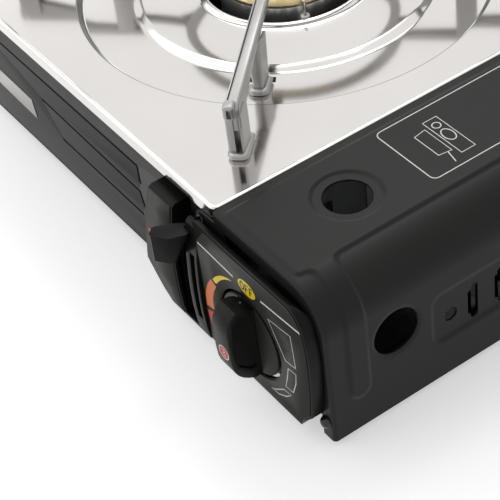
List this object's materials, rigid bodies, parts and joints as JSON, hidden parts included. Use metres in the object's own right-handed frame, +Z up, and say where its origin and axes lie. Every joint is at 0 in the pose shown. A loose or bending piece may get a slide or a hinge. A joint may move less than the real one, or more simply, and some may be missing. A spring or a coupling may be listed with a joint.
{
  "type": "portable cassette gas stove",
  "caption": "Portable single-burner cassette stove with a square drip pan, lift-off pan support, gas knob, cartridge lock lever and hinged cartridge cover.",
  "frame": {"origin": "centre of the bounding box's underside, on the ground between the feet", "axes": "+X to the user's right, towards the cartridge bay; +Y to the rear; +Z up; the knob faces -Y"},
  "size_m": [0.321, 0.277, 0.1116],
  "materials": {
    "satin_black_steel": "satin powder coat",
    "galvanised": "zinc plated",
    "stainless": "polished stainless",
    "support_steel": "satin plated",
    "cast_alloy": "die cast",
    "burner_brass": "machined",
    "tube_steel": "drawn",
    "copper_line": "drawn copper alloy",
    "screw_steel": "plated",
    "black_rubber": "matte",
    "black_plastic": "satin",
    "grey_label": "satin",
    "pale_plastic": "satin",
    "lead_black": "matte",
    "ceramic": "glazed ceramic",
    "electrode_steel": "bare",
    "strip_grey": "bare satin film"
  },
  "bodies": {
    "case": {"body_shell": "satin_black_steel", "base_plate": "satin_black_steel", "partition_wall": "galvanised", "igniter_bracket": "galvanised", "lever_bracket": "galvanised", "burner_bracket": "galvanised", "cartridge_cradle": "galvanised", "electrode_clip": "galvanised", "drip_pan": "stainless", "burner_body": "cast_alloy", "regulator_body": "cast_alloy", "regulator_cap": "cast_alloy", "burner_cap": "burner_brass", "gas_nozzle": "burner_brass", "cartridge_seat": "burner_brass", "mixing_tube": "tube_steel", "heat_plate": "tube_steel", "gas_pipe": "copper_line", "regulator_screws": "screw_steel", "panel_screws": "screw_steel", "base_screws": "screw_steel", "hinge_pins": "screw_steel", "lever_pin": "screw_steel", "feet": "black_rubber", "seat_gasket": "black_rubber", "control_panel": "black_plastic", "ignition_pad": "black_plastic", "knob_faceplate": "grey_label", "lever_faceplate": "grey_label", "igniter_body": "pale_plastic", "spark_lead": "lead_black", "electrode_insulator": "ceramic", "electrode_rod": "electrode_steel", "trim_strip": "strip_grey"},
    "cover": {"cover": "satin_black_steel", "cover_catch": "screw_steel"},
    "knob": {"knob": "black_plastic", "dial_plate": "grey_label", "valve_spindle": "burner_brass", "knob_cam": "pale_plastic"},
    "igniter": {"igniter_plunger": "black_plastic"},
    "lever": {"lock_lever": "galvanised", "lever_cap": "black_plastic"},
    "carriage": {"carriage": "galvanised"},
    "pan_support": {"pan_support": "support_steel"}
  },
  "joints": [
    {"name": "cover_hinge", "type": "hinge", "parent": "case", "child": "cover", "pos_m": [0.07445, 0.0098, 0.0723], "axis": [0, -1, 0], "range_deg": [0, 70]},
    {"name": "knob_turn", "type": "hinge", "parent": "case", "child": "knob", "pos_m": [0.11345, -0.1242, 0.0374], "axis": [0, -1, 0], "range_deg": [0, 150]},
    {"name": "igniter_press", "type": "slide", "parent": "case", "child": "igniter", "axis": [1, 0, 0], "range_m": [0, 0.005]},
    {"name": "lever_turn", "type": "hinge", "parent": "case", "child": "lever", "pos_m": [0.06345, -0.0862, 0.038], "axis": [1, 0, 0], "range_deg": [0, 45]},
    {"name": "carriage_slide", "type": "slide", "parent": "case", "child": "carriage", "axis": [0, -1, 0], "range_m": [0, 0.00689]},
    {"name": "support_lift", "type": "slide", "parent": "case", "child": "pan_support", "axis": [0, 0, 1], "range_m": [0, 0.06]}
  ],
  "couplings": [
    {"joint": "igniter_press", "follows": "knob_turn", "m_per_rad": 0.0019099},
    {"joint": "carriage_slide", "follows": "lever_turn", "m_per_rad": 0.0087705}
  ]
}
